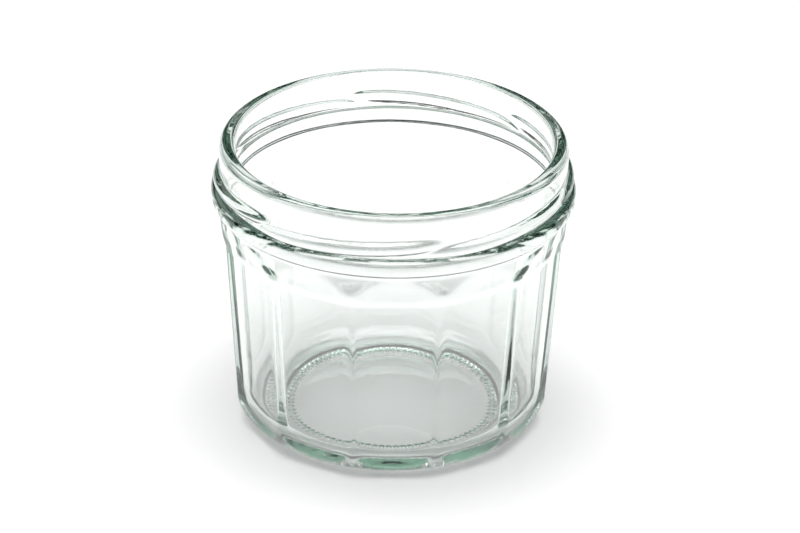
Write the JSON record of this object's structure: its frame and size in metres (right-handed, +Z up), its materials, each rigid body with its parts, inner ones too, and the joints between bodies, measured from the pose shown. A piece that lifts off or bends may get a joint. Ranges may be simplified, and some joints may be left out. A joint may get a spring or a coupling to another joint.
{
  "type": "jam pot",
  "caption": "Low clear glass pot with flat facets, a round shoulder, a lug finish for a twist-off lid and an open mouth.",
  "frame": {"origin": "on the pot's axis, in the plane of its bearing ring", "axes": "+Z up along the axis, out of the mouth; one facet faces +X and one faces -Y"},
  "size_m": [0.0826, 0.0826, 0.0683],
  "materials": {
    "glass": "clear gloss"
  },
  "bodies": {
    "root": {"jar": "glass"}
  },
  "joints": []
}
